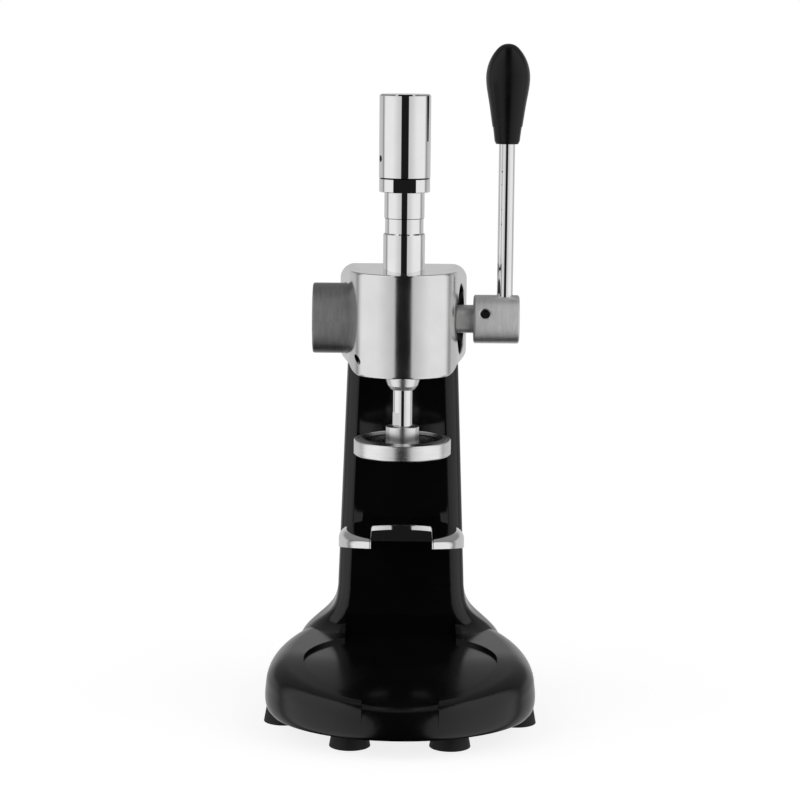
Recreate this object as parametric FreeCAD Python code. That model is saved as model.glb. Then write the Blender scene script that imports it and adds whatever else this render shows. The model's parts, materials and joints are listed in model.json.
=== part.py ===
import FreeCAD, Part
import math
import os

from FreeCAD import Vector

# Lever-operated coffee tamping press. Millimetres, +Z up, front is -Y.
# The tamper axis is the Z axis and the feet stand on z = 0.

# overall sizes
base_w = 160.0
base_l = 204.0
base_bottom = 11.0
head_bottom = 206.6
head_h = 61.4
lever_reach = 164.6

# base casting
base_wide_y = -35.0
base_waist_z = 20.0
shoulder_r = 12.0
rim_z = 41.6
rim_front_z = 28.7
rim_fall_y = -20.0
tray_r = 57.5
tray_y = -32.0
tray_step = 2.0
channel_hw = 22.0
throat_hw = 34.0
column_front = 38.0
column_top_hw = 34.0
column_top_rear = 58.0
column_foot_hw = 40.1
column_foot_rear = 90.0
flare_out = 24.5
flare_mid = 44.8
flare_ease = 4.3
wall = 4.5
foot_d = 24.0
foot_top_d = 20.0
foot_spots = [(29.0, -71.0), (69.5, -22.0), (25.0, 76.0)]

# head
head_front_r = 33.0
head_front_y = -21.0
head_hw = 38.7
head_rear = 60.0
head_corner = 9.0
bore_inner_x = 14.0
bore_lip = 1.6
head_screw_spots = [(-20.0, 48.0), (0.0, 48.0), (20.0, 48.0)]

# rack and pinion
module = 1.25
teeth = 26
pressure_angle = math.radians(20.0)
backlash = 0.1
pinion_z = head_bottom + 30.8
swing = 125.0
gear_w = 16.0

# plunger
tube_d = 24.7
nose_d = 20.8
shaft_d = 11.75
run_clear = 0.05
fit_clear = 0.02
disc_d = 58.0
disc_bottom = 159.0
cap_d = 30.3
ring_d = 30.0
collar_d = 23.7

# lever
stub_d = 17.0
arbor_d = 12.0
spigot_d = 14.0
hub_d = 29.3
hub_x0 = 42.4
hub_x1 = 69.7
rod_d = 9.6
rod_x = 61.0
knob_d = 26.2
knob_h = 59.2

# fork
fork_top = 112.8
fork_r = 37.7
fork_h = 10.9
fork_round = 5.3
slot_hw = 18.0
slot_back = 12.5
slot_bow = 4.2
slot_round = 0.8
fork_bolts = (-14.0, 14.0)

# dependent sizes
head_top = head_bottom + head_h
pitch_r = module * teeth / 2.0
side_bore_d = 2.0 * (pitch_r + module + 3.8)
rack_y = shaft_d / 2.0 + 1.5 + 1.3 * module
pinion_y = rack_y + pitch_r
stroke = pitch_r * math.radians(swing)
cup_r = side_bore_d / 2.0 - 0.1
cup_left = -(head_hw + 15.8)
tube_r = tube_d / 2.0
nose_r = nose_d / 2.0
shaft_r = shaft_d / 2.0
nose_bottom = head_bottom - 8.6
guide_top = head_bottom + 8.0
tube_step = guide_top + stroke + 1.5
tube_top = head_top + 23.3
neck_top = tube_top + 8.5
collar_top = neck_top + 15.6
ring_top = collar_top + 8.2
cap_top = ring_top + 48.9
seat_z = neck_top + 3.2
stem_top = ring_top + 21.5
stem_r = 10.0
spring_bore = 7.5
knob_top = pinion_z + lever_reach
knob_bottom = knob_top - knob_h
fork_bolt_z = fork_top - 5.4


def cyl(r, p, q):
    p = Vector(*p)
    q = Vector(*q)
    return Part.makeCylinder(r, (q - p).Length, p, q - p)


def upright(r, z0, z1, x=0.0, y=0.0):
    return cyl(r, (x, y, z0), (x, y, z1))


def along_x(r, x0, x1):
    return cyl(r, (x0, pinion_y, pinion_z), (x1, pinion_y, pinion_z))


def box(x0, x1, y0, y1, z0, z1):
    return Part.makeBox(x1 - x0, y1 - y0, z1 - z0, Vector(x0, y0, z0))


def turned(profile, axis="z"):
    """Solid of revolution of (radius, position) points about Z, or about the pinion axis."""
    points = [Vector(r, 0, h) for r, h in profile]
    face = Part.Face(Part.makePolygon(points + [points[0]]))
    solid = face.revolve(Vector(0, 0, 0), Vector(0, 0, 1), 360)
    if axis == "x":
        solid.rotate(Vector(0, 0, 0), Vector(0, 1, 0), 90)
        solid.translate(Vector(0, pinion_y, pinion_z))
    return solid


def prism(points, axis, start, length):
    """Closed polygon given in the plane across an axis, pushed along that axis."""
    place = {
        "x": lambda a, b: Vector(start, a, b),
        "y": lambda a, b: Vector(a, start, b),
        "z": lambda a, b: Vector(a, b, start),
    }[axis]
    push = {"x": Vector(length, 0, 0), "y": Vector(0, length, 0), "z": Vector(0, 0, length)}[axis]
    corners = [place(a, b) for a, b in points]
    return Part.Face(Part.makePolygon(corners + [corners[0]])).extrude(push)


def joined(shapes):
    whole = shapes[0]
    if len(shapes) > 1:
        whole = shapes[0].fuse(shapes[1:])
    return whole.removeSplitter()


def save(node, shape):
    solids = shape.Solids
    if not solids or not all(s.isValid() for s in solids):
        raise ValueError("bad shape in " + node)
    out = solids[0] if len(solids) == 1 else Part.makeCompound(solids)
    out.exportStep(os.path.join("parts", node + ".step"))


def mirrored(spots):
    return [(s * x, y) for x, y in spots for s in (-1, 1)]


def oval(profile):
    """Solid on the plan of the base, from (inward offset, height) rows: a short half oval in front, a long one behind."""
    half_w = base_w / 2.0
    points = [Vector(half_w - i, 0, z) for i, z in profile]
    low = Vector(0, 0, profile[0][1])
    high = Vector(0, 0, profile[-1][1])
    if len(points) > 2:
        curve = Part.BSplineCurve()
        curve.interpolate(Points=points)
        side = curve.toShape()
    else:
        side = Part.makeLine(points[0], points[1])
    foot_line = Part.makeLine(low, points[0])
    head_line = Part.makeLine(points[-1], high)
    outline = Part.Wire([foot_line, side, head_line, Part.makeLine(high, low)])
    halves = []
    for sign in (-1, 1):
        half = Part.Face(outline).revolve(Vector(0, 0, 0), Vector(0, 0, 1), sign * 180)
        depth = base_l / 2.0 - sign * base_wide_y
        stretch = FreeCAD.Matrix()
        stretch.A22 = depth / half_w
        half = half.transformGeometry(stretch)
        half.translate(Vector(0, base_wide_y, 0))
        halves.append(half)
    return halves[0].fuse(halves[1])


def rounded(hw, cy0, cy1, rf_x, rf_y, rr_x, rr_y, z):
    """Plan section of the column, half width hw, with elliptic front and rear corners."""

    def corner(cx, cy, ax, ay, a0):
        pts = []
        for k in range(5):
            t = math.radians(a0 + 22.5 * k)
            pts.append(Vector(cx + ax * math.cos(t), cy + ay * math.sin(t), z))
        c = Part.BSplineCurve()
        t0 = Vector(-math.sin(math.radians(a0)), math.cos(math.radians(a0)), 0)
        t1 = Vector(-math.sin(math.radians(a0 + 90)), math.cos(math.radians(a0 + 90)), 0)
        c.interpolate(Points=pts, InitialTangent=t0, FinalTangent=t1)
        return c.toShape(), pts[0], pts[-1]

    parts = [
        corner(hw - rf_x, cy0 + rf_y, rf_x, rf_y, -90),
        corner(hw - rr_x, cy1 - rr_y, rr_x, rr_y, 0),
        corner(rr_x - hw, cy1 - rr_y, rr_x, rr_y, 90),
        corner(rf_x - hw, cy0 + rf_y, rf_x, rf_y, 180),
    ]
    edges = []
    for i, (edge, _, end) in enumerate(parts):
        edges.append(edge)
        edges.append(Part.makeLine(end, parts[(i + 1) % 4][1]))
    return Part.Wire(edges)


def flare(z):
    """Share of the full spread that the column foot has reached at a height, 0 to 1."""
    return max(0.0, 1.0 / (1.0 + math.exp((z - flare_mid) / flare_ease)) - 0.003)


def column_section(z):
    t = (head_bottom - z) / (head_bottom - rim_z)
    w = flare(z)
    e = flare_out * w
    hw = column_top_hw + (column_foot_hw - column_top_hw) * t + e
    rear = column_top_rear + (column_foot_rear - column_top_rear) * t + 0.25 * e
    reach = w ** 6
    front = column_front - 7.5 * w - 78.0 * reach
    rf_x = 9.5 + 12.0 * w + 28.0 * reach
    rf_y = 9.5 + 12.0 * w + 60.0 * reach
    rr_x = 10.0 + 12.0 * t + (hw - 26.0) * w
    rr_y = 8.0 + 12.0 * t + 34.0 * w
    return rounded(hw, front, rear, rf_x, rf_y, rr_x, rr_y, z)


def roof_z(y):
    """Height of the top of the base along its length: level behind, falling away in front."""
    reach = base_l / 2.0 + rim_fall_y
    return rim_z - (rim_z - rim_front_z) * (max(0.0, rim_fall_y - y) / reach) ** 2


def make_base():
    """Oval foot with soft outer edges, before the tray and the hollows are cut."""
    low = base_waist_z - base_bottom
    rows = [(3.0, base_bottom), (1.25, base_bottom + 0.25 * low), (0.3, base_bottom + 0.6 * low)]
    rows += [(0.0, base_waist_z), (0.7, base_waist_z + 9.0), (2.0, base_waist_z + 19.0), (3.6, base_waist_z + 28.0)]
    reach = base_l * 0.65
    side = base_w * 0.65
    crest = [Vector(-side, reach * k / 12.0, roof_z(reach * k / 12.0)) for k in range(-12, 13)]
    curve = Part.BSplineCurve()
    curve.interpolate(Points=crest)
    corner_a = Vector(-side, reach, 2 * rim_z)
    corner_b = Vector(-side, -reach, 2 * rim_z)
    outline = Part.Wire(
        [
            curve.toShape(),
            Part.makeLine(crest[-1], corner_a),
            Part.makeLine(corner_a, corner_b),
            Part.makeLine(corner_b, crest[0]),
        ]
    )
    body = oval(rows).cut(Part.Face(outline).extrude(Vector(2 * side, 0, 0)))
    long_edges = [e for e in body.Edges if e.BoundBox.XLength > base_w * 0.3]
    rim = [e for e in long_edges if all(abs(v.Z - roof_z(v.Y)) < 0.2 for v in e.Vertexes)]
    return body.makeFillet(shoulder_r, rim)


def make_tray():
    """Round tray, open back to the column and through a channel in front, as a tall solid."""
    high = 2 * head_bottom
    round_part = upright(tray_r, 0, high, 0, tray_y)
    channel = box(-channel_hw, channel_hw, -base_l, tray_y, 0, high)
    throat = box(-throat_hw, throat_hw, tray_y, column_front - 1.5, 0, high)
    return joined([round_part, channel, throat])


def make_stand():
    base = make_base()
    bell = [flare_mid + flare_ease * k * 1.2 for k in range(-4, 6)]
    foot = Part.makeLoft([column_section(z) for z in bell], True, False)
    shaft = Part.makeLoft([column_section(bell[-1]), column_section(head_bottom)], True, True)
    body = joined([base, foot, shaft])
    floor = base.copy()
    floor.translate(Vector(0, 0, -tray_step))
    body = body.cut(make_tray().cut(floor))

    # hollow underside with a boss over each foot, and the hollow of the column
    ceiling = base_bottom + 11.0
    hollow = oval([(7.0, base_bottom - 1), (7.0, ceiling)])
    bosses = [upright(8.0, base_bottom + 1.5, ceiling + 1, x, y) for x, y in mirrored(foot_spots)]
    body = body.cut(hollow.cut(joined(bosses)))
    top_in = rounded(29.5, column_front + wall, column_top_rear - wall, 4, 4, 4, 4, head_bottom - 12.6)
    low_in = rounded(34.0, column_front + wall, 64.0, 4, 4, 4, 4, ceiling - 1)
    body = body.cut(Part.makeLoft([low_in, top_in], True, True))
    drills = [upright(2.5 + fit_clear, 5.0, ceiling - 0.5, x, y) for x, y in mirrored(foot_spots)]
    drills += [upright(3.3, head_bottom - 20, head_bottom + 1, x, y) for x, y in head_screw_spots]
    drills += [cyl(2.7, (x, 30, fork_bolt_z), (x, 50, fork_bolt_z)) for x in fork_bolts]
    return body.cut(drills)


def make_cover():
    plate = oval([(7.4, base_bottom), (7.4, base_bottom + 1.5)]).removeSplitter()
    return plate.cut([upright(2.8, 0, 30, x, y) for x, y in mirrored(foot_spots)])


def make_feet():
    feet = []
    for x, y in mirrored(foot_spots):
        cone = Part.makeCone(foot_d / 2, foot_top_d / 2, base_bottom, Vector(x, y, 0))
        cone = cone.cut([upright(5.2, -1, 4.5, x, y), upright(2.7, 0, 20, x, y)])
        feet.append(cone)
    return Part.makeCompound(feet)


def make_foot_screws():
    screws = []
    for x, y in mirrored(foot_spots):
        screw = upright(4.6, 1.4, 4.5, x, y).fuse(upright(2.5, 4.5, base_bottom + 9.5, x, y))
        screws.append(screw.cut(hex_prism(3.0, 1.0, 3.2, x, y)).removeSplitter())
    return Part.makeCompound(screws)


def hex_prism(flats, z0, z1, x, y):
    r = flats / math.sqrt(3.0)
    pts = [(x + r * math.cos(math.radians(60 * k)), y + r * math.sin(math.radians(60 * k))) for k in range(6)]
    return prism(pts, "z", z0, z1 - z0)


def head_section(hw, inset, y, top_r=head_corner):
    """Upright section of the head in a plane across Y, its corners rounded, the upper ones by top_r."""
    x = hw - inset
    z0 = head_bottom + inset
    z1 = head_top - inset
    low_r = max(head_corner - inset, 1.5)
    high_r = max(top_r - inset, 0.5)
    corners = [
        (x - low_r, z0 + low_r, 270, low_r),
        (x - high_r, z1 - high_r, 0, high_r),
        (high_r - x, z1 - high_r, 90, high_r),
        (low_r - x, z0 + low_r, 180, low_r),
    ]
    arcs = []
    for cx, cz, start, r in corners:
        turns = [math.radians(start + d) for d in (0, 45, 90)]
        arcs.append([Vector(cx + r * math.cos(t), y, cz + r * math.sin(t)) for t in turns])
    loop = []
    for i, arc in enumerate(arcs):
        loop.append(Part.Arc(*arc).toShape())
        loop.append(Part.makeLine(arc[2], arcs[(i + 1) % 4][0]))
    return Part.Wire(loop)


def make_head():
    """Round front that runs tangent into tapered sides, with a flat rounded back."""
    centre_y = head_front_y + head_front_r
    rear_r = 8.0
    side_y = head_rear - rear_r
    span = math.hypot(head_hw, side_y - centre_y)
    turn = math.atan2(side_y - centre_y, head_hw) - math.acos(head_front_r / span)
    join_x = head_front_r * math.cos(turn)
    join_y = centre_y + head_front_r * math.sin(turn)
    block = Part.makeLoft([head_section(join_x, 0, join_y), head_section(head_hw, 0, side_y)], True, True)
    bends = [math.radians(22.5 * k) for k in range(5)]
    tail_rows = [head_section(head_hw, rear_r * (1 - math.cos(a)) * 0.8, side_y + rear_r * math.sin(a)) for a in bends]
    tail = Part.makeLoft(tail_rows, True, False)
    edge = 1.2
    bevel = 0.35
    r = head_front_r
    barrel = turned(
        [
            (0, head_bottom),
            (r - edge, head_bottom),
            (r - bevel, head_bottom + bevel),
            (r, head_bottom + edge),
            (r, head_top - edge),
            (r - bevel, head_top - bevel),
            (r - edge, head_top),
            (0, head_top),
        ]
    )
    barrel.translate(Vector(0, centre_y, 0))
    front_form = Part.Face(head_section(join_x, 0, join_y, 0.5)).extrude(Vector(0, 2 * head_front_y - join_y, 0))
    body = joined([block, tail, barrel.common(front_form)])
    body = body.cut([along_x(side_bore_d / 2, bore_inner_x, 60), along_x(side_bore_d / 2, -60, -bore_inner_x)])
    mouth = [e for e in body.Edges if abs(e.CenterOfMass.x) > head_front_r * 0.9 and on_side_bore(e)]
    body = body.makeFillet(bore_lip, mouth)
    body = body.cut(
        [
            along_x(pitch_r + module + 2.5, -20, 20),
            upright(tube_r + run_clear, guide_top, head_top + 5),
            upright(nose_r + run_clear, head_bottom - 5, guide_top + 1),
            lock_rod(1.85, cup_r - 1, 45),
        ]
    )
    return body.cut([upright(3.0 + fit_clear, head_bottom - 5, head_bottom + 13, x, y) for x, y in head_screw_spots])


def on_side_bore(edge):
    """True for an edge that lies on the wall of a side bore."""
    spread = [math.hypot(v.Y - pinion_y, v.Z - pinion_z) for v in edge.Vertexes]
    return all(abs(d - side_bore_d / 2) < 0.05 for d in spread) and edge.BoundBox.ZLength > 1.0


def lock_rod(r, d0, d1):
    """Rod pointing at the pinion axis from low on the left front of the head."""
    out = Vector(0, -math.cos(math.radians(33)), -math.sin(math.radians(33)))
    middle = Vector(-27, pinion_y, pinion_z)
    return cyl(r, middle + out * d0, middle + out * d1)


def screw_up(x, y, z, d, length, head_dia, head_len):
    """Socket head screw pointing up, z is the underside it clamps."""
    body = upright(head_dia / 2, z - head_len, z, x, y).fuse(upright(d / 2, z, z + length, x, y))
    return body.cut(hex_prism(d * 0.8, z - head_len - 1, z - head_len * 0.4, x, y)).removeSplitter()


def make_fork():
    """Half-round rest for a portafilter, round outer edge, open slot in front."""
    low = fork_top - fork_h
    crown_r = fork_r - fork_round
    wall_top = fork_top - fork_round
    bend = fork_round * math.cos(math.pi / 4)
    outline = Part.Wire(
        [
            Part.makeLine(Vector(0, 0, low), Vector(fork_r, 0, low)),
            Part.makeLine(Vector(fork_r, 0, low), Vector(fork_r, 0, wall_top)),
            Part.Arc(
                Vector(fork_r, 0, wall_top), Vector(crown_r + bend, 0, wall_top + bend), Vector(crown_r, 0, fork_top)
            ).toShape(),
            Part.makeLine(Vector(crown_r, 0, fork_top), Vector(0, 0, fork_top)),
            Part.makeLine(Vector(0, 0, fork_top), Vector(0, 0, low)),
        ]
    )
    body = Part.Face(outline).revolve(Vector(0, 0, 0), Vector(0, 0, 1), 360)
    body = body.cut(box(-60, 60, column_front - 1.5, 60, 0, 200))
    body = body.fuse(box(-24, 24, 20, column_front, low, fork_top)).removeSplitter()
    under = box(-60, 60, -60, 15.5, low - 5, fork_top - 3).common(upright(fork_r - 3.2, low - 5, fork_top))
    body = body.cut(under)
    slope = math.tan(math.radians(10.3))
    ramp = [(0.0, low), (-60.0, low + 60 * slope), (-60.0, low - 10), (0.0, low - 10)]
    body = body.cut(prism(ramp, "x", -60, 120))
    corner = 2.0
    mouth_y = -fork_r * 1.5
    bow_y = slot_back - slot_bow
    plan = Part.Wire(
        [
            Part.makeLine(Vector(-slot_hw, mouth_y, 0), Vector(slot_hw, mouth_y, 0)),
            Part.makeLine(Vector(slot_hw, mouth_y, 0), Vector(slot_hw, bow_y, 0)),
            Part.Arc(Vector(slot_hw, bow_y, 0), Vector(0, slot_back, 0), Vector(-slot_hw, bow_y, 0)).toShape(),
            Part.makeLine(Vector(-slot_hw, bow_y, 0), Vector(-slot_hw, mouth_y, 0)),
        ]
    )
    slot = Part.Face(plan).extrude(Vector(0, 0, 2 * fork_top))
    slot = slot.makeFillet(corner, [e for e in slot.Edges if e.BoundBox.ZLength > 1 and e.CenterOfMass.y > mouth_y + 1])
    body = body.cut(slot)
    lip = []
    for e in body.Edges:
        on_slot = e.BoundBox.XLength < 0.01 and abs(abs(e.CenterOfMass.x) - slot_hw) < 0.01
        if on_slot and e.CenterOfMass.y < -crown_r * 0.8 and e.BoundBox.ZLength > 2:
            lip.append(e)
    body = body.makeFillet(slot_round, lip)
    holes = [cyl(2.5 + fit_clear, (x, 26, fork_bolt_z), (x, 50, fork_bolt_z)) for x in fork_bolts]
    return body.cut(holes)


def make_fork_screws():
    screws = []
    for x in fork_bolts:
        y = column_front + wall
        shank = cyl(2.5, (x, 27, fork_bolt_z), (x, y, fork_bolt_z))
        screws.append(shank.fuse(cyl(4.25, (x, y, fork_bolt_z), (x, y + 5, fork_bolt_z))).removeSplitter())
    return Part.makeCompound(screws)


def make_gear():
    """Involute spur pinion, one tooth pointing at the rack, bored for its shaft."""
    base_r = pitch_r * math.cos(pressure_angle)
    root_r = pitch_r - 1.25 * module
    tip_r = pitch_r + module
    half = (math.pi * module / 2 - backlash) / (2 * pitch_r)
    inv_pitch = math.tan(pressure_angle) - pressure_angle

    def half_angle(r):
        if r <= base_r:
            return half + inv_pitch
        a = math.acos(base_r / r)
        return half + inv_pitch - (math.tan(a) - a)

    radii = [root_r, base_r] + [base_r + (tip_r - base_r) * k / 4.0 for k in (1, 2, 3, 4)]
    ring = []
    for n in range(teeth):
        mid = math.pi + 2 * math.pi * n / teeth
        ring += [(r, mid - half_angle(r)) for r in radii]
        ring += [(r, mid + half_angle(r)) for r in reversed(radii)]
    points = [(pinion_y + r * math.cos(a), pinion_z + r * math.sin(a)) for r, a in ring]
    gear = prism(points, "x", -gear_w / 2, gear_w)
    key_slot = box(-gear_w, gear_w, pinion_y - 2 - fit_clear, pinion_y + 2 + fit_clear, pinion_z, pinion_z + 10.0)
    return gear.cut([along_x(8.0 + fit_clear, -20, 20), key_slot])


def make_rack_tube():
    neck_r = 11.35
    bore = shaft_r + run_clear
    socket = 8.9 + fit_clear
    body = turned(
        [
            (bore, nose_bottom),
            (7.1, nose_bottom),
            (7.5, nose_bottom + 0.4),
            (9.0, nose_bottom + 2.4),
            (nose_r, nose_bottom + 6.8),
            (nose_r, tube_step),
            (tube_r, tube_step),
            (tube_r, tube_top - 0.8),
            (tube_r - 0.8, tube_top),
            (neck_r, tube_top),
            (neck_r, neck_top),
            (socket, neck_top),
            (socket, tube_top - 1.2),
            (bore, tube_top - 1.2),
        ]
    )
    pitch = math.pi * module
    tip_y = rack_y + module
    root_y = rack_y - 1.25 * module
    below = 2
    above = int(math.ceil(stroke / pitch)) + 2
    z_low = pinion_z - (below + 0.5) * pitch
    z_high = pinion_z + (above + 0.5) * pitch
    cuts = [box(-20, 20, tip_y, 30, z_low, z_high)]
    lean = math.tan(pressure_angle)
    for k in range(-below, above + 1):
        z = pinion_z + k * pitch
        wide = pitch / 4 + module * lean + backlash / 2
        slim = pitch / 4 - 1.25 * module * lean + backlash / 2
        out = 3.0 * lean
        gap = [
            (root_y, z - slim),
            (tip_y + 3.0, z - wide - out),
            (tip_y + 3.0, z + wide + out),
            (root_y, z + slim),
        ]
        cuts.append(prism(gap, "x", -20, 40))
    return body.cut(cuts)


def make_knob():
    """Teardrop grip, blind bore for its threaded sleeve."""
    form = [(0.52, 0.945), (0.865, 0.82), (1.0, 0.67), (0.915, 0.495), (0.79, 0.33), (0.675, 0.17), (0.575, 0.03)]
    pts = [Vector(0, 0, knob_top)]
    pts += [Vector(knob_d / 2 * r, 0, knob_bottom + knob_h * h) for r, h in form]
    curve = Part.BSplineCurve()
    curve.interpolate(Points=pts, InitialTangent=Vector(1, 0, 0), FinalTangent=Vector(-0.12, 0, -1))
    foot = Vector(knob_d / 2 * 0.51, 0, knob_bottom)
    centre = Vector(0, 0, knob_bottom)
    outline = Part.Wire(
        [
            curve.toShape(),
            Part.makeLine(pts[-1], foot),
            Part.makeLine(foot, centre),
            Part.makeLine(centre, pts[0]),
        ]
    )
    knob = Part.Face(outline).revolve(Vector(0, 0, 0), Vector(0, 0, 1), 360)
    knob = knob.cut(upright(5.8 + fit_clear, knob_bottom - 1, knob_bottom + 24))
    knob = knob.cut(upright(rod_d / 2 + fit_clear, knob_bottom, knob_bottom + 30))
    knob.translate(Vector(rod_x, pinion_y, 0))
    return knob


def make_return_spring():
    """Flat coiled strip around the arbor inside the left cup, its outer end turned out to the wall."""
    turns = 4.5
    r0 = arbor_d / 2 + 1.5
    r1 = cup_r - 3.0 - 1.6
    thick = 0.9
    steps = 16
    count = int(turns * steps)

    def edge(offset):
        pts = []
        for k in range(count + 1):
            a = 2 * math.pi * k / steps
            r = r0 + (r1 - r0) * k / count + offset
            pts.append(Vector(-44.0, pinion_y + r * math.cos(a), pinion_z + r * math.sin(a)))
        c = Part.BSplineCurve()
        c.interpolate(Points=pts)
        return c.toShape(), pts[0], pts[-1]

    inner, a0, a1 = edge(-thick / 2)
    outer, b0, b1 = edge(thick / 2)
    face = Part.Face(Part.Wire(Part.__sortEdges__([inner, Part.makeLine(a1, b1), outer, Part.makeLine(b0, a0)])))
    strip = face.extrude(Vector(18.0, 0, 0))
    tab = box(-44, -26, pinion_y - cup_r + 3.05, pinion_y - r1 + 0.2, pinion_z - 0.45, pinion_z + 0.45)
    return strip.fuse(tab).removeSplitter()


def make_coil(r, wire_r, z0, z1, turns):
    """Compression spring with its end coils ground flat."""
    pitch = (z1 - z0) / turns
    helix = Part.makeHelix(pitch, z1 - z0, r)
    helix.translate(Vector(0, 0, z0))
    ring = Part.Wire([Part.Circle(Vector(r, 0, z0), Vector(0, 1, 0), wire_r).toShape()])
    coil = Part.Wire(helix.Edges).makePipeShell([ring], True, True)
    return coil.common(box(-20, 20, -20, 20, z0, z1))


os.makedirs("parts", exist_ok=True)

# stand, feet and fork
save("stand_casting", make_stand())
save("bottom_cover", make_cover())
save("feet", make_feet())
save("foot_screws", make_foot_screws())
save("portafilter_fork", make_fork())
save("fork_screws", make_fork_screws())

# head and the parts fixed in it
save("head_housing", make_head())
head_screws = [screw_up(x, y, head_bottom - 12.6, 6.0, 24.0, 10.0, 6.0) for x, y in head_screw_spots]
save("head_screws", Part.makeCompound(head_screws))
save("head_grub_screw", lock_rod(1.83, cup_r + 0.01, cup_r + 7))
plate_in = -bore_inner_x
plate_out = plate_in - 5.0
cup_profile = [
    (0, cup_left),
    (cup_r - 1.0, cup_left),
    (cup_r - 0.3, cup_left + 0.3),
    (cup_r, cup_left + 1.0),
    (cup_r, plate_out),
    (cup_r - 3.0, plate_out),
    (cup_r - 3.0, cup_left + 3.0),
    (0, cup_left + 3.0),
]
save("spring_cup", turned(cup_profile, "x"))
save("bearing_plate", along_x(cup_r, plate_out, plate_in).cut(along_x(8.0 + fit_clear, -30, 0)))
bush_left = along_x(8.0, plate_out, plate_in).cut(along_x(arbor_d / 2 + run_clear, -30, 0))
save("arbor_bush", bush_left)
save("return_spring", make_return_spring())
cover_out = 30.0
save("side_cover", along_x(cup_r, bore_inner_x, cover_out).cut(along_x(11.0 + fit_clear, 0, 60)))
stub_r = stub_d / 2
save("stub_bush", along_x(11.0, bore_inner_x, cover_out).cut(along_x(stub_r + run_clear, 0, 60)))

# lever, pinion and their shaft
spigot_end = hub_x0 + 12.0
shaft_profile = [
    (0, cup_left + 5.0),
    (arbor_d / 2, cup_left + 5.0),
    (arbor_d / 2, -gear_w / 2 - 2.0),
    (8.0, -gear_w / 2 - 2.0),
    (8.0, gear_w / 2),
    (stub_r, gear_w / 2),
    (stub_r, hub_x0),
    (spigot_d / 2, hub_x0),
    (spigot_d / 2, spigot_end),
    (0, spigot_end),
]
key = box(-gear_w / 2 + 1, gear_w / 2 - 1, pinion_y - 2, pinion_y + 2, pinion_z + 6.0, pinion_z + 9.9)
shaft = turned(shaft_profile, "x")
seat = box(-gear_w / 2 + 1, gear_w / 2 - 1, pinion_y - 2, pinion_y + 2, pinion_z + 6.0, pinion_z + 12)
save("pinion_shaft", shaft.cut(seat))
save("pinion_key", key)
save("pinion_gear", make_gear())
ring_out = plate_out - 1.6
snap = along_x(arbor_d / 2 + 2.6, ring_out, plate_out - 0.4).cut(along_x(arbor_d / 2, -60, 0))
save("retaining_ring", snap)
hub_r = hub_d / 2
hub_profile = [
    (0, hub_x0),
    (hub_r - 0.8, hub_x0),
    (hub_r, hub_x0 + 0.8),
    (hub_r, hub_x1 - 0.8),
    (hub_r - 0.8, hub_x1),
    (0, hub_x1),
]
rod_low = pinion_z + 2.0
set_out = Vector(0, -math.cos(math.radians(20)), math.sin(math.radians(20)))
set_mid = Vector(hub_x0 + 6.6, pinion_y, pinion_z)
hub = turned(hub_profile, "x").cut(along_x(spigot_d / 2 + fit_clear, hub_x0 - 1, spigot_end + 0.5))
hub = hub.cut(upright(rod_d / 2 + fit_clear, rod_low, pinion_z + 30, rod_x, pinion_y))
hub = hub.cut(cyl(3.0, set_mid, set_mid + set_out * 20))
hub = hub.cut(Part.makeCone(3.0, 4.2, 1.2, set_mid + set_out * (hub_r - 0.9), set_out))
save("lever_hub", hub)
save("hub_grub_screw", cyl(2.98, set_mid + set_out * (spigot_d / 2 + 0.01), set_mid + set_out * 12.0))
rod_top = knob_bottom + 30.0
save("lever_rod", upright(rod_d / 2, rod_low, rod_top, rod_x, pinion_y))
sleeve = upright(5.8, knob_bottom + 1, knob_bottom + 24, rod_x, pinion_y)
save("knob_sleeve", sleeve.cut(upright(rod_d / 2 + fit_clear, 0, 500, rod_x, pinion_y)))
save("knob", make_knob())

# plunger driven by the pinion
save("rack_tube", make_rack_tube())
barrel_profile = [
    (shaft_r + 0.12, tube_top - 1.0),
    (8.9, tube_top - 1.0),
    (8.9, neck_top),
    (collar_d / 2 - 0.4, neck_top),
    (collar_d / 2, neck_top + 0.4),
    (collar_d / 2, collar_top),
    (stem_r, collar_top),
    (stem_r, stem_top),
    (spring_bore, stem_top),
    (spring_bore, seat_z),
    (shaft_r + 0.12, seat_z),
]
save("spring_barrel", turned(barrel_profile))
flat_y = math.sqrt((ring_d / 2) ** 2 - 6.65 ** 2)
ring = turned(
    [
        (stem_r + run_clear, collar_top),
        (ring_d / 2 - 0.4, collar_top),
        (ring_d / 2, collar_top + 0.4),
        (ring_d / 2, ring_top - 0.5),
        (ring_d / 2 - 0.4, ring_top - 0.1),
        (stem_r + run_clear, ring_top - 0.1),
    ]
)
save("lock_ring", ring.cut([box(-30, 30, flat_y, 30, 0, 500), box(-30, 30, -30, -flat_y, 0, 500)]))
cap_profile = [
    (stem_r + run_clear, ring_top),
    (cap_d / 2 - 0.4, ring_top),
    (cap_d / 2, ring_top + 0.4),
    (cap_d / 2, cap_top - 0.9),
    (cap_d / 2 - 0.9, cap_top),
    (0, cap_top),
    (0, cap_top - 5.5),
    (spring_bore + 0.1, cap_top - 5.5),
    (spring_bore + 0.1, stem_top + 6.0),
    (stem_r + run_clear, stem_top + 6.0),
]
grub_dir = Vector(-math.sin(math.radians(70)), -math.cos(math.radians(70)), 0)
grub_mid = Vector(0, 0, ring_top + 11.4)
save("adjusting_cap", turned(cap_profile).cut(cyl(2.0, grub_mid + grub_dir * 5, grub_mid + grub_dir * 20)))
save("cap_grub_screw", cyl(1.98, grub_mid + grub_dir * (stem_r + 0.06), grub_mid + grub_dir * (cap_d / 2 - 1)))
seat_top = cap_top - 5.5
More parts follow.
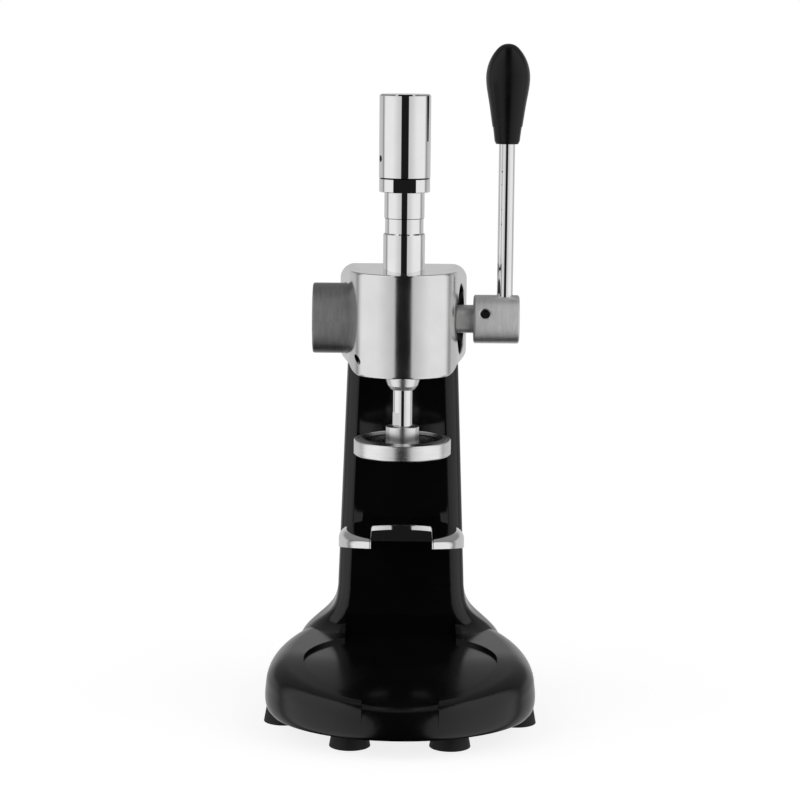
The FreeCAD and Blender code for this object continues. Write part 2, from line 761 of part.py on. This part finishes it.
seat_profile = [
    (0, seat_top - 6.0),
    (4.8, seat_top - 6.0),
    (4.8, seat_top - 3.0),
    (spring_bore - 0.1, seat_top - 3.0),
    (spring_bore - 0.1, seat_top),
    (0, seat_top),
]
save("upper_spring_seat", turned(seat_profile))
nut_profile = [
    (4.0 + fit_clear, seat_z),
    (spring_bore - 0.1, seat_z),
    (spring_bore - 0.1, seat_z + 3.0),
    (5.0, seat_z + 3.0),
    (5.0, seat_z + 8.0),
    (4.0 + fit_clear, seat_z + 8.0),
]
save("shaft_collar", turned(nut_profile))
save("pressure_spring", make_coil(6.3, 0.85, seat_z + 3.0, seat_top - 3.0, 13))

# tamper carried by the sprung shaft
boss_top = disc_bottom + 16.7
dish_z = disc_bottom + 7.8
shank = turned(
    [
        (0, disc_bottom + 1.5),
        (4.0, disc_bottom + 1.5),
        (4.0, dish_z),
        (shaft_r, dish_z),
        (shaft_r, seat_z),
        (4.0, seat_z),
        (4.0, seat_z + 8.0),
        (0, seat_z + 8.0),
    ]
)
flat = box(-20, -4.9, -20, 20, boss_top + 0.3, boss_top + 8.6)
flat.rotate(Vector(0, 0, 0), Vector(0, 0, 1), 38)
save("tamper_shaft", shank.cut(flat))
boss_profile = [
    (shaft_r + fit_clear, dish_z),
    (10.0, dish_z),
    (10.0, boss_top),
    (8.6, boss_top),
    (shaft_r + fit_clear, boss_top - 2.0),
]
save("tamper_boss", turned(boss_profile))
disc_profile = [
    (0, disc_bottom),
    (disc_d / 2 - 0.5, disc_bottom),
    (disc_d / 2, disc_bottom + 0.5),
    (disc_d / 2, disc_bottom + 8.5),
    (disc_d / 2 - 0.4, disc_bottom + 9.0),
    (disc_d / 2 - 5.0, disc_bottom + 10.0),
    (disc_d / 2 - 6.0, dish_z + 0.4),
    (disc_d / 2 - 8.0, dish_z),
    (4.0 + fit_clear, dish_z),
    (4.0 + fit_clear, disc_bottom + 1.5),
    (0, disc_bottom + 1.5),
]
save("tamper_disc", turned(disc_profile))
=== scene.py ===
import json
import math

import bpy
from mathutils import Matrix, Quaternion, Vector


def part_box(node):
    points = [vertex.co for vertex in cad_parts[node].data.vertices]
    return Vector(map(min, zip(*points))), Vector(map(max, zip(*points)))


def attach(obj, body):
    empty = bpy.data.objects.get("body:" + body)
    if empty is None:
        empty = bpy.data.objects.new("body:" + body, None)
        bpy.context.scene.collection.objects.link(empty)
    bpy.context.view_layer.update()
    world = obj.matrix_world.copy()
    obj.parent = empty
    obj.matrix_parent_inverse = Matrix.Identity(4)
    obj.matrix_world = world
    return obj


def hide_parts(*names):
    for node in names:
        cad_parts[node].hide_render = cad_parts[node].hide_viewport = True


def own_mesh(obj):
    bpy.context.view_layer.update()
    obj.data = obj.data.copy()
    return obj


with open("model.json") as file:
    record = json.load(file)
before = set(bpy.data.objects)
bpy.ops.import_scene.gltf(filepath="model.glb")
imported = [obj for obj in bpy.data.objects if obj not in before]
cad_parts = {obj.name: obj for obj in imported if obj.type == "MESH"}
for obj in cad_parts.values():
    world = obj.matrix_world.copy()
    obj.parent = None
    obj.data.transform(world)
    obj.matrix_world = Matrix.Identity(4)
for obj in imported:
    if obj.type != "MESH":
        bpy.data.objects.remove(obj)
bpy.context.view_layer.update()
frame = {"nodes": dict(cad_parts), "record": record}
nodes = frame["nodes"]
scene = bpy.context.scene
white = (1.0, 1.0, 1.0, 1.0)


# ---------------------------------------------------------------- node helpers
class Net:
    """Short calls for one node tree."""

    def __init__(self, tree):
        self.tree = tree
        tree.nodes.clear()

    def add(self, kind, **values):
        node = self.tree.nodes.new(kind)
        for name, value in values.items():
            setattr(node, name, value)
        return node

    def put(self, socket, value):
        """Links a socket to another one, or sets it to a number or a colour."""
        if isinstance(value, bpy.types.NodeSocket):
            self.tree.links.new(value, socket)
        else:
            socket.default_value = value

    def math(self, operation, a, b=0.0, clamp=False):
        node = self.add("ShaderNodeMath", operation=operation, use_clamp=clamp)
        self.put(node.inputs[0], a)
        self.put(node.inputs[1], b)
        return node.outputs[0]

    def ramp(self, kind, *values):
        node = self.add("ShaderNodeMapRange", interpolation_type=kind)
        for name, value in zip(("Value", "From Min", "From Max", "To Min", "To Max"), values):
            self.put(node.inputs[name], value)
        return node.outputs["Result"]

    def step(self, value, low, high, a=0.0, b=1.0):
        """a below low, b above high, smooth between."""
        return self.ramp("SMOOTHSTEP", value, low, high, a, b)

    def lerp(self, value, low, high, a, b):
        """a below low, b above high, straight between."""
        return self.ramp("LINEAR", value, low, high, a, b)

    def mix(self, factor, a, b):
        node = self.add("ShaderNodeMix", data_type="RGBA")
        self.put(node.inputs[0], factor)
        self.put(node.inputs[6], a)
        self.put(node.inputs[7], b)
        return node.outputs[2]

    def noise(self, vector, scale, detail=2.0):
        node = self.add("ShaderNodeTexNoise")
        self.put(node.inputs["Vector"], vector)
        self.put(node.inputs["Scale"], scale)
        self.put(node.inputs["Detail"], detail)
        self.put(node.inputs["Roughness"], 0.5)
        return node.outputs[0]

    def split(self, vector):
        node = self.add("ShaderNodeSeparateXYZ")
        self.put(node.inputs[0], vector)
        return node.outputs

    def join(self, x, y, z):
        node = self.add("ShaderNodeCombineXYZ")
        for socket, value in zip(node.inputs, (x, y, z)):
            self.put(socket, value)
        return node.outputs[0]

    def distance(self, p, q, a=0.0, b=0.0):
        """Distance of the point (p, q) from the point (a, b)."""
        dp = self.math("SUBTRACT", p, a)
        dq = self.math("SUBTRACT", q, b)
        total = self.math("ADD", self.math("MULTIPLY", dp, dp), self.math("MULTIPLY", dq, dq))
        return self.math("SQRT", total)

    def bump(self, height, strength):
        node = self.add("ShaderNodeBump")
        self.put(node.inputs["Height"], height)
        self.put(node.inputs["Strength"], strength)
        self.put(node.inputs["Distance"], 0.0002)
        return node.outputs[0]

    def light(self, strength):
        node = self.add("ShaderNodeBackground")
        self.put(node.inputs["Color"], white)
        self.put(node.inputs["Strength"], strength)
        return node.outputs[0]


def grey(value, warm=0.0):
    return (value * (1 + warm), value, value * (1 - warm), 1.0)


# ---------------------------------------------------------------- parts of a finish
def turning_marks(net, place, lines):
    """Fine tool marks, from 0 to 1, round a turning axis. lines is (letter, a, b): the axis runs along that
    letter through the point (a, b) of the other two coordinates."""
    letter, a, b = lines
    x, y, z = net.split(place)
    along, p, q = {"x": (x, y, z), "z": (z, x, y)}[letter]
    radius = net.distance(p, q, a, b)
    turn = net.math("ARCTAN2", net.math("SUBTRACT", q, b), net.math("SUBTRACT", p, a))

    def streaks(stretch, scale, detail):
        return net.noise(net.join(along, radius, net.math("MULTIPLY", turn, stretch)), scale, detail)

    fine = streaks(0.0006, 2600.0, 1.5)
    broad = streaks(0.004, 420.0, 2.0)
    marks = net.math("ADD", net.math("MULTIPLY", fine, 0.6), net.math("MULTIPLY", broad, 0.4))
    return net.lerp(marks, 0.32, 0.68, 0.0, 1.0)


def dish_shade_mask(net, place, floor_z, radius):
    """1 in the turned dish of the tamper disc, which is darkened with painted shade, 0 outside it."""
    x, y, z = net.split(place)
    above = net.step(z, floor_z, floor_z + 0.0004)
    within = net.step(net.distance(x, y), radius, radius + 0.001, 1.0, 0.0)
    return net.math("MULTIPLY", above, within)


def bore_shade_mask(net, place, axis_y, axis_z, radius, from_x):
    """1 in a bore along X, from from_x outwards on both sides, where painted shade darkens the head, 0
    outside it.
    """
    x, y, z = net.split(place)
    within = net.step(net.distance(y, z, axis_y, axis_z), radius, radius + 0.0002, 1.0, 0.0)
    return net.math("MULTIPLY", within, net.step(net.math("ABSOLUTE", x), from_x, from_x + 0.001))


def seam_shade_mask(net, place, level):
    """1 in the thin line of painted shade in the gap between two turned parts at a height, 0 away from it.
    """
    gap = net.math("ABSOLUTE", net.math("SUBTRACT", net.split(place)[2], level))
    return net.step(gap, 0.0003, 0.0005, 1.0, 0.0)


def material(
    name, tones, rough, metallic=0.0, grain=60.0, bump=0.0, lines=None, line_mix=0.5, line_rough=0.1,
    warm=0.0, spec=0.5, aniso=0.0, below=None, dish=None, bore=None, seams=()
):
    """Procedural finish. Colour runs between the two tones and roughness over the range line_rough, with a
    cloudy grain or, given lines, with tool marks. aniso spreads the shine along the turning axis. below is
    (z0, z1, rough): another roughness under z0, eased in up to z1. dish and bore are where painted shade
    drops the colour, ending with the share of the first tone that is left. seams are the heights of thin
    dark lines of painted shade in the gaps between parts."""
    mat = bpy.data.materials.new(name)
    mat.use_nodes = True
    net = Net(mat.node_tree)
    out = net.add("ShaderNodeOutputMaterial")
    shader = net.add("ShaderNodeBsdfPrincipled")
    net.put(out.inputs[0], shader.outputs[0])
    place = net.add("ShaderNodeTexCoord").outputs["Object"]

    cloud = net.noise(place, grain, 3.0)
    if lines:
        marks = turning_marks(net, place, lines)
        cloud_part = net.math("MULTIPLY", cloud, 1.0 - line_mix)
        shade = net.math("ADD", cloud_part, net.math("MULTIPLY", marks, line_mix))
        spread = net.math("SUBTRACT", marks, 0.5)
        height = marks
    else:
        shade = cloud
        spread = net.lerp(cloud, 0.3, 0.7, -0.5, 0.5)
        height = net.noise(place, grain * 12.0)

    tone = net.lerp(shade, 0.25, 0.75, 0.0, 1.0)
    colour = net.mix(tone, grey(tones[0], warm), grey(tones[1], warm))
    # Painted shade: inside the dish the colour drops to the given share of the first tone.
    if dish:
        colour = net.mix(dish_shade_mask(net, place, *dish[:-1]), colour, grey(dish[-1] * tones[0]))
    # Painted shade: inside the bore the colour drops to the given share of the first tone.
    if bore:
        colour = net.mix(bore_shade_mask(net, place, *bore[:-1]), colour, grey(bore[-1] * tones[0]))
    # Painted shade: a thin dark line at each seam height, for the shade in the gap between parts.
    for level in seams:
        colour = net.mix(seam_shade_mask(net, place, level), colour, grey(0.04))
    net.put(shader.inputs["Base Color"], colour)

    if below:
        rough = net.step(net.split(place)[2], below[0], below[1], below[2], rough)
    rough = net.math("ADD", rough, net.math("MULTIPLY", spread, line_rough), clamp=True)
    net.put(shader.inputs["Roughness"], rough)
    net.put(shader.inputs["Metallic"], metallic)
    net.put(shader.inputs["Specular IOR Level"], spec)
    if aniso:
        tangent = net.add("ShaderNodeTangent", direction_type="RADIAL", axis=lines[0].upper())
        net.put(shader.inputs["Anisotropic"], aniso)
        net.put(shader.inputs["Anisotropic Rotation"], 0.25)
        net.put(shader.inputs["Tangent"], tangent.outputs[0])
    if bump:
        net.put(shader.inputs["Normal"], net.bump(height, bump))
    return mat


# ---------------------------------------------------------------- finishes
hub_low, hub_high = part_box("lever_hub")
pin_y = (hub_low[1] + hub_high[1]) / 2
pin_z = (hub_low[2] + hub_high[2]) / 2
cover_low, cover_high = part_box("side_cover")
bore_r = (cover_high[2] - cover_low[2]) / 2 + 0.0002
bore_from_x = 0.014
dish_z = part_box("tamper_disc")[1][2] - 0.0036
dish_r = 0.0235
ring_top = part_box("adjusting_cap")[0][2]
neck_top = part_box("rack_tube")[1][2]
about_pin = ("x", pin_y, pin_z)
about_tamper = ("z", 0.0, 0.0)

finishes = {
    "black_gloss": material(
        "gloss_black_enamel", (0.0025, 0.005), 0.13, grain=25.0, bump=0.008,
        line_rough=0.03, spec=0.4, below=(0.045, 0.09, 0.16)
    ),
    "cover_steel": material("black_sheet", (0.01, 0.02), 0.45, grain=90.0, bump=0.1),
    "foot_rubber": material("foot_rubber_black", (0.008, 0.016), 0.62, grain=220.0, bump=0.3, spec=0.3),
    "screw_steel": material("zinc_screw", (0.4, 0.5), 0.3, 1.0, grain=300.0, bump=0.05),
    "fork_chrome": material("fork_bright_chrome", (0.74, 0.8), 0.06, 1.0, grain=80.0, line_rough=0.03),
    # The head's pin bore is darkened with painted shade.
    "head_alloy": material(
        "head_polished_alloy", (0.7, 0.78), 0.15, 1.0, grain=50.0, bump=0.01, line_rough=0.05,
        bore=(pin_y, pin_z, bore_r, bore_from_x, 0.1)
    ),
    "grub_black": material("black_grub", (0.01, 0.03), 0.4, 0.6, grain=400.0, bump=0.1),
    "brushed_steel": material(
        "turned_steel", (0.86, 0.99), 0.5, 1.0, grain=40.0, bump=0.04,
        lines=about_pin, line_mix=0.75, aniso=0.85
    ),
    "bush_bronze": material("bush_bronze", (0.3, 0.4), 0.3, 1.0, grain=200.0, bump=0.05, warm=0.4),
    "spring_steel": material("spring_steel", (0.25, 0.35), 0.3, 1.0, grain=200.0, bump=0.05),
    "gear_steel": material("gear_steel", (0.3, 0.42), 0.32, 1.0, grain=150.0, bump=0.06),
    "plunger_chrome": material(
        "plunger_mirror_chrome", (0.78, 0.84), 0.035, 1.0, line_rough=0.02, below=(0.2050, 0.2064, 0.3)
    ),
    "tamper_alloy": material(
        "tamper_satin_alloy", (0.72, 0.86), 0.3, 1.0, bump=0.03,
        lines=about_tamper, line_mix=0.6, line_rough=0.08
    ),
    "knob_black": material(
        "knob_black_phenolic", (0.003, 0.007), 0.3, grain=120.0, bump=0.03, line_rough=0.05, spec=0.24
    ),
}
# Thin lines of painted shade mark the gaps at the cap's lower edge and at the tube's top.
cap_chrome = material(
    "cap_mirror_chrome", (0.78, 0.84), 0.035, 1.0, line_rough=0.02, seams=(ring_top, neck_top)
)
special = {
    "side_cover": material(
        "cover_steel_dark", (0.08, 0.13), 0.5, 1.0, bump=0.05, lines=about_pin, line_mix=0.6
    ),
    # Painted shade: the spring cup is a darker copy of the hub's turned steel.
    "spring_cup": material(
        "turned_steel_shaded", (0.3, 0.42), 0.5, 1.0, bump=0.08, lines=about_pin, line_mix=0.6, aniso=0.8
    ),
    "tamper_shaft": material("shaft_mirror_chrome", (0.78, 0.84), 0.04, 1.0, line_rough=0.02),
    # The hollow on top of the tamper disc is darkened with painted shade.
    "tamper_disc": material(
        "tamper_disc_alloy", (0.74, 0.88), 0.27, 1.0, bump=0.03,
        lines=about_tamper, line_mix=0.6, line_rough=0.08, dish=(dish_z, dish_r, 0.26)
    ),
    "adjusting_cap": cap_chrome,
    "lock_ring": cap_chrome,
    "spring_barrel": cap_chrome,
}
for part in frame["record"]["subparts"]:
    mesh = nodes[part["node"]].data
    finish = special.get(part["node"], finishes[part["material_slot"]])
    for i in range(len(mesh.materials)):
        mesh.materials[i] = finish
    if not mesh.materials:
        mesh.materials.append(finish)

# ---------------------------------------------------------------- pressure spring
# The CAD spring is copied into an object of its own that rides with the plunger, and the CAD one is hidden.
spring = bpy.data.objects.new("pressure_coil", nodes["pressure_spring"].data.copy())
scene.collection.objects.link(spring)
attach(spring, "plunger")
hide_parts("pressure_spring")
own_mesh(spring)

# ---------------------------------------------------------------- studio
# A tall light stands on each side with a dark gap between them at the front, and a dimmer wall stands
# behind. side is the angle from straight ahead and up is the angle from level, both in degrees.
world = bpy.data.worlds.new("studio")
scene.world = world
world.use_nodes = True
net = Net(world.node_tree)
x, y, z = net.split(net.add("ShaderNodeTexCoord").outputs["Generated"])
side = net.math("DEGREES", net.math("ARCTAN2", x, net.math("MULTIPLY", y, -1.0)))
side = net.math("ABSOLUTE", side)
up = net.math("DEGREES", net.math("ARCSINE", z))
tall = net.step(net.math("ABSOLUTE", x), 0.26, 0.31)
tall = net.math("MULTIPLY", tall, net.step(side, 96.0, 120.0, 1.0, 0.0))
tall = net.math("MULTIPLY", tall, net.step(up, -78.0, -60.0))
tall = net.math("MULTIPLY", tall, net.step(side, 18.0, 62.0, 0.68, 0.96))
wall = net.math("MULTIPLY", net.step(side, 100.0, 125.0), net.step(up, 8.0, 22.0, 0.62, 0.28))
wall = net.math("MULTIPLY", wall, net.step(up, -60.0, -30.0))
darkest = 0.012
lamp = net.light(net.math("MAXIMUM", net.math("MAXIMUM", tall, wall), darkest))
seen = net.add("ShaderNodeLightPath").outputs["Is Camera Ray"]
both = net.add("ShaderNodeMixShader")
net.put(both.inputs[0], seen)
net.put(both.inputs[1], lamp)
net.put(both.inputs[2], net.light(1.0))
out = net.add("ShaderNodeOutputWorld")
net.put(out.inputs[0], both.outputs[0])

# The floor glows nearly white, and the press neither mirrors it nor is lit by it.
half = 3.0
floor_mesh = bpy.data.meshes.new("floor")
corners = [(-half, -half, 0), (half, -half, 0), (half, half, 0), (-half, half, 0)]
floor_mesh.from_pydata(corners, [], [(0, 1, 2, 3)])
floor = bpy.data.objects.new("floor", floor_mesh)
scene.collection.objects.link(floor)
floor_mat = bpy.data.materials.new("pale_floor")
floor_mat.use_nodes = True
net = Net(floor_mat.node_tree)
glow = net.add("ShaderNodeEmission")
net.put(glow.inputs["Color"], white)
net.put(glow.inputs["Strength"], 0.82)
paint = net.add("ShaderNodeBsdfDiffuse")
net.put(paint.inputs["Color"], grey(0.4))
total = net.add("ShaderNodeAddShader")
net.put(total.inputs[0], glow.outputs[0])
net.put(total.inputs[1], paint.outputs[0])
out = net.add("ShaderNodeOutputMaterial")
net.put(out.inputs[0], total.outputs[0])
floor_mesh.materials.append(floor_mat)
floor.visible_glossy = False
floor.visible_diffuse = False

# ---------------------------------------------------------------- camera
look_down = 8.9
roll = 0.51
camera = bpy.data.objects.new("camera", bpy.data.cameras.new("camera"))
scene.collection.objects.link(camera)
camera.data.sensor_width = 36.0
camera.data.lens = 106.6
camera.location = Vector((-0.0016, -1.396, 0.410))
camera.rotation_mode = "QUATERNION"
level = Quaternion((1.0, 0.0, 0.0), math.radians(90.0 - look_down))
camera.rotation_quaternion = level @ Quaternion((0.0, 0.0, 1.0), math.radians(roll))
scene.camera = camera
scene.view_settings.view_transform = "Standard"
